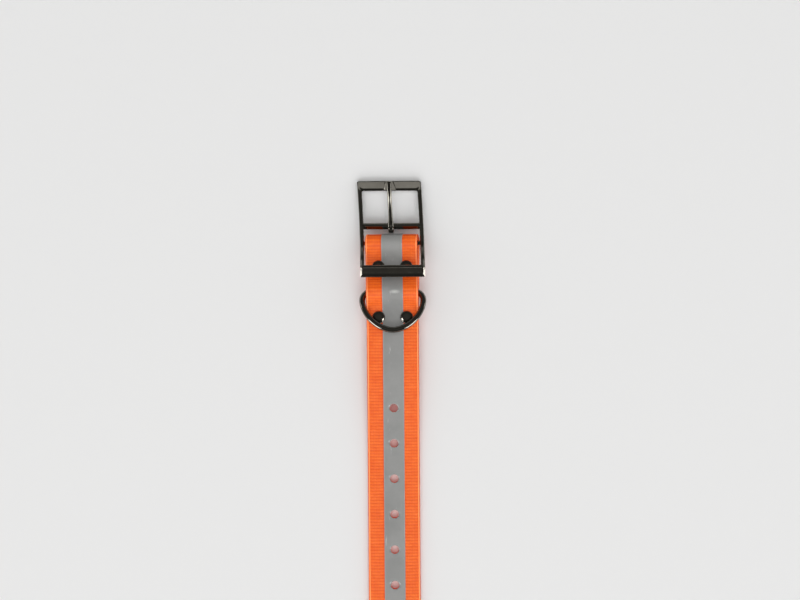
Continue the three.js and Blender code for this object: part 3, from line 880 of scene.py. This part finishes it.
def webbing_material():
    """Coated fluorescent webbing.

    It has beaded ribs with painted shade in their valleys, a painted highlight along each selvedge, and
    painted shade at the edges and against the tape. A faint orange emission is painted light that lifts
    its shaded parts.
    """
    material, nodes, links, surface = node_material("coated_orange_webbing")
    tint = texture(nodes, links, "ShaderNodeTexNoise", Scale=260, Detail=4, Roughness=0.65)
    crest = colour_ramp(nodes, links, tint.outputs["Fac"], [
        (0.3, (0.6, 0.094, 0.004)), (0.7, (0.68, 0.139, 0.012))])
    beads = texture(nodes, links, "ShaderNodeTexWave", bands_direction="X")
    set_inputs(beads, {"Scale": band_scale(0.0013), "Distortion": 2.5, "Detail Scale": 300})
    beaded = mix_colours(nodes, links, 0.06, crest, beads.outputs["Color"], "MULTIPLY")
    # Painted shade: the valleys between the ribs are darkened in colour.
    valley = colour_ramp(nodes, links, read_attribute(nodes, "valley"), [(0.35, BLACK), (1, grey(0.5))])
    ribbed = mix_colours(nodes, links, valley, beaded, (0.42, 0.036, 0.001))
    # Painted highlight: a pale line along each selvedge stands in for light off its rounded bead.
    line = colour_ramp(nodes, links, share_of_width(nodes, links, STRAP_WIDTH), [
        (0.925, BLACK), (0.94, grey(0.7)), (0.96, grey(0.7)), (0.975, BLACK)])
    selvedge_highlighted = mix_colours(nodes, links, line, ribbed, (1.0, 0.4, 0.15))
    shade = colour_ramp(nodes, links, share_of_width(nodes, links, STRAP_WIDTH), [
        (0.41, grey(0.4)), (0.44, BLACK), (0.965, BLACK), (0.99, grey(0.6))])
    edged = mix_colours(nodes, links, shade, selvedge_highlighted, (0.45, 0.045, 0.014))
    links.new(edged, surface.inputs["Base Color"])
    grain = texture(nodes, links, "ShaderNodeTexNoise", Scale=2500, Detail=2)
    height = add_heights(nodes, links, grain.outputs["Fac"], 0.35, beads.outputs["Fac"])
    add_bump(nodes, links, height, surface, 0.3, 0.0001)
    # The faint orange emission is painted light that lifts the webbing's shaded parts, such as the fold and
    # hole walls.
    set_inputs(surface, {
        "Emission Color": (1, 0.055, 0.015, 1),
        "Emission Strength": 0.16,
        "Roughness": 0.45,
        "Specular IOR Level": 0.22,
        "Coat Weight": 0.1,
        "Coat Roughness": 0.3,
    })
    return material


def tape_material():
    """Grey reflective tape: fine cells, painted sheen streaks, a painted highlight on the crease over the
    D-ring's bar, tinted edges.
    """
    material, nodes, links, surface = node_material("grey_reflective_tape")
    tint = texture(nodes, links, "ShaderNodeTexNoise", Scale=60, Detail=4, Roughness=0.6)
    base = colour_ramp(nodes, links, tint.outputs["Fac"], [
        (0.3, (0.19, 0.192, 0.187)), (0.7, (0.24, 0.24, 0.233))])
    # Painted sheen: pale streaks stand in for light off the glossy tape's small undulations.
    stretch = texture(nodes, links, "ShaderNodeMapping")
    stretch.inputs["Scale"].default_value = (700, 110, 400)
    sheen_noise = add_node(nodes, "ShaderNodeTexNoise", Scale=1, Detail=3, Roughness=0.7)
    links.new(stretch.outputs["Vector"], sheen_noise.inputs["Vector"])
    sheen_streak = colour_ramp(nodes, links, sheen_noise.outputs["Fac"], [(0.66, BLACK), (0.74, grey(0.55))])
    sheen_streaked = mix_colours(nodes, links, sheen_streak, base, (0.45, 0.44, 0.43))
    # Painted highlight: a soft pale patch where the tape bends over the D-ring's bar stands in for light off
    # the bend.
    crease_highlight_from = texture(nodes, links, "ShaderNodeMapping", vector_type="TEXTURE")
    set_inputs(crease_highlight_from, {"Location": (ORIGIN + CREASE_HIGHLIGHT_PLACE) * MM, "Scale": CREASE_HIGHLIGHT_REACH * MM})
    crease = add_node(nodes, "ShaderNodeTexGradient", gradient_type="SPHERICAL")
    links.new(crease_highlight_from.outputs["Vector"], crease.inputs["Vector"])
    crease_highlight = colour_ramp(nodes, links, crease.outputs["Fac"], [(0, BLACK), (0.9, grey(0.75))])
    crease_highlighted = mix_colours(nodes, links, crease_highlight, sheen_streaked, (0.5, 0.5, 0.48))
    border = colour_ramp(nodes, links, share_of_width(nodes, links, TAPE_WIDTH), [
        (0.88, BLACK), (0.93, grey(0.45)), (0.97, grey(0.45))])
    bordered = mix_colours(nodes, links, border, crease_highlighted, (0.25, 0.29, 0.3))
    rim = colour_ramp(nodes, links, share_of_width(nodes, links, TAPE_WIDTH), [
        (0.97, BLACK), (0.995, grey(0.7))])
    rimmed = mix_colours(nodes, links, rim, bordered, (0.5, 0.24, 0.19))
    links.new(rimmed, surface.inputs["Base Color"])
    waves = texture(nodes, links, "ShaderNodeTexNoise", Scale=140, Detail=2)
    cells = texture(nodes, links, "ShaderNodeTexVoronoi", Scale=2600)
    height = add_heights(nodes, links, cells.outputs["Distance"], 0.06, waves.outputs["Fac"])
    add_bump(nodes, links, height, surface, 0.25, 0.0004)
    set_inputs(surface, {"Roughness": 0.4, "Coat Weight": 0.12, "Coat Roughness": 0.25})
    return material


def nickel_material():
    """Polished black nickel, slightly uneven in tint and gloss."""
    material, nodes, links, surface = node_material("black_nickel")
    tint = texture(nodes, links, "ShaderNodeTexNoise", Scale=220, Detail=3)
    colour = colour_ramp(nodes, links, tint.outputs["Fac"], [
        (0.3, (0.16, 0.15, 0.13)), (0.7, (0.19, 0.18, 0.158))])
    links.new(colour, surface.inputs["Base Color"])
    smear = texture(nodes, links, "ShaderNodeTexNoise", Scale=500, Detail=4)
    gloss = nodes.new("ShaderNodeMapRange")
    set_inputs(gloss, {"From Min": 0.3, "From Max": 0.7, "To Min": 0.05, "To Max": 0.1})
    links.new(smear.outputs["Fac"], gloss.inputs["Value"])
    links.new(gloss.outputs["Result"], surface.inputs["Roughness"])
    add_bump(nodes, links, smear.outputs["Fac"], surface, 0.04, 0.0002)
    surface.inputs["Metallic"].default_value = 1
    return material


def floor_material():
    material, *_, surface = node_material("pale_floor")
    set_inputs(surface, {"Base Color": (0.8, 0.8, 0.8, 1), "Roughness": 0.9, "Specular IOR Level": 0.05})
    return material


# The collar

webbing = webbing_material()
tape_finish = tape_material()
nickel = nickel_material()

strap = make_strap(webbing)
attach(strap, "strap")
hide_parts("strap")

tape = make_tape(tape_finish)
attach(tape, "strap")
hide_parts("reflective_tape")

caps = {}
for row in ("buckle", "ring"):
    for side in ("left", "right"):
        cap_node = f"rivet_cap_{row}_{side}"
        cap = rivet_cap(f"rivet_dome_{row}_{side}", cap_node, nickel)
        caps[row, side] = cap
        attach(cap, "strap")
        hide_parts(cap_node)
        back_node = f"rivet_back_{row}_{side}"
        back = rivet_back(f"rivet_base_{row}_{side}", back_node, nickel)
        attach(back, "strap")
        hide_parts(back_node)

casting = make_buckle_frame(nickel)
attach(casting, "buckle")
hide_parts("buckle_frame")

strap_bar = bar("strap_bar_rod", (frame_middle(0), 0, STRAP_BAR_Z), nickel, False)
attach(strap_bar, "buckle")
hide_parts("strap_bar_pin")

prong_bar = bar("prong_bar_rod", (frame_middle(PRONG_BAR.y), PRONG_BAR.y, PRONG_BAR.z), nickel, True)
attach(prong_bar, "buckle")
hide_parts("prong_bar_pin")

tongue = make_prong(nickel)
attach(tongue, "prong")
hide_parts("prong")

ring = make_ring(nickel)
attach(ring, "d_ring")
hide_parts("d_ring")

# Floor, light and camera

FLOOR_REACH = 60
FLOOR_GAP = 0.02
floor_mesh = bpy.data.meshes.new("floor")
floor_corners = [(x * FLOOR_REACH, y * FLOOR_REACH, 0) for x, y in ((-1, -1), (1, -1), (1, 1), (-1, 1))]
floor_mesh.from_pydata(floor_corners, [], [(0, 1, 2, 3)])
floor_mesh.materials.append(floor_material())
floor = bpy.data.objects.new("floor", floor_mesh)
floor.location.z = -FLOOR_GAP * MM
bpy.context.scene.collection.objects.link(floor)


FILL_DISTANCE = 6
SOFTBOX_DISTANCE = 1.3
CARD_DISTANCE = 1.2


def softbox(name, azimuth, elevation, distance, size, brightness):
    """A rectangular light that faces the buckle from this direction, with the given size and radiance."""
    width, height = size
    light = bpy.data.lights.new(name, "AREA")
    light.shape = "RECTANGLE"
    light.size = width
    light.size_y = height
    light.energy = brightness * math.pi * width * height
    lamp = bpy.data.objects.new(name, light)
    a, e = math.radians(azimuth), math.radians(elevation)
    away = Vector((math.cos(a) * math.cos(e), math.sin(a) * math.cos(e), math.sin(e)))
    lamp.location = STRAP_BAR_AT * MM + away * distance
    lamp.rotation_mode = "QUATERNION"
    lamp.rotation_quaternion = away.to_track_quat("Z", "Y")
    bpy.context.scene.collection.objects.link(lamp)
    return lamp


def light_only(lamp, pieces):
    """Keeps a light to these pieces."""
    group = bpy.data.collections.new(lamp.name + "_pieces")
    for piece in pieces:
        group.objects.link(piece)
    lamp.light_linking.receiver_collection = group


for fill in (
    softbox("ceiling", -90, 84, FILL_DISTANCE, (8.5, 8.5), 0.98),
    softbox("front_fill", -90, 38, FILL_DISTANCE, (7, 5), 2.05),
    softbox("right_fill", 5, 28, FILL_DISTANCE, (5, 4.4), 1.35),
    softbox("left_fill", 175, 28, FILL_DISTANCE, (5, 4.4), 1.35),
):
    fill.visible_glossy = False
for prong_light in (
    softbox("prong_light_right", 17, 19, SOFTBOX_DISTANCE, (0.6, 0.5), 4.5),
    softbox("prong_light_left", 167, 19, SOFTBOX_DISTANCE, (0.6, 0.5), 4.5),
):
    prong_light.visible_diffuse = False
    light_only(prong_light, [tongue])
for reflected in (
    softbox("softbox_right", -43, 16, SOFTBOX_DISTANCE, (0.6, 0.7), 6),
    softbox("softbox_left", -137, 16, SOFTBOX_DISTANCE, (0.6, 0.7), 6),
    softbox("edge_light_right", 0, 7, SOFTBOX_DISTANCE, (0.25, 0.18), 6),
    softbox("edge_light_left", 180, 7, SOFTBOX_DISTANCE, (0.25, 0.18), 6),
):
    reflected.visible_diffuse = False
strap_fill = softbox("strap_fill", -90, 80, FILL_DISTANCE, (8, 8), 0.9)
strap_fill.visible_glossy = False
strap_fill.data.use_shadow = False
light_only(strap_fill, [strap, tape])
light_only(softbox("overhead_card", 94, 85.1, CARD_DISTANCE, (0.2, 0.12), 0.85), [casting, tongue])
light_only(softbox("glint_right", -29, 37, SOFTBOX_DISTANCE, (0.46, 0.6), 9), [caps["ring", "left"]])
light_only(softbox("glint_left", -151, 37, SOFTBOX_DISTANCE, (0.46, 0.6), 9), [caps["ring", "right"]])

world = bpy.data.worlds.new("studio")
bpy.context.scene.world = world
world.use_nodes = True
world_nodes, world_links = world.node_tree.nodes, world.node_tree.links
view = world_nodes.new("ShaderNodeTexCoord")
split = world_nodes.new("ShaderNodeSeparateXYZ")
world_links.new(view.outputs["Generated"], split.inputs["Vector"])
sky = colour_ramp(world_nodes, world_links, split.outputs["Z"], [
    (0, (0.5, 0.5, 0.49)),
    (0.2, (0.42, 0.42, 0.41)),
    (0.42, (0.08, 0.079, 0.075)),
    (0.75, (0.07, 0.069, 0.065)),
    (0.93, (0.12, 0.118, 0.112)),
    (1, (0.14, 0.137, 0.13)),
])
world_links.new(sky, world_nodes["Background"].inputs["Color"])

CAMERA_PLACE = (ORIGIN + Vector((3.565, -27.25, 656))) * MM
CAMERA_TURN = math.radians(-0.43)
CAMERA_SENSOR = 36
CAMERA_LENS = 61.04475
camera_data = bpy.data.cameras.new("camera")
camera_data.sensor_width = CAMERA_SENSOR
camera_data.lens = CAMERA_LENS
camera = bpy.data.objects.new("camera", camera_data)
camera.location = CAMERA_PLACE
camera.rotation_euler = (0, 0, CAMERA_TURN)
bpy.context.scene.collection.objects.link(camera)
bpy.context.scene.camera = camera
bpy.context.scene.view_settings.view_transform = "Standard"
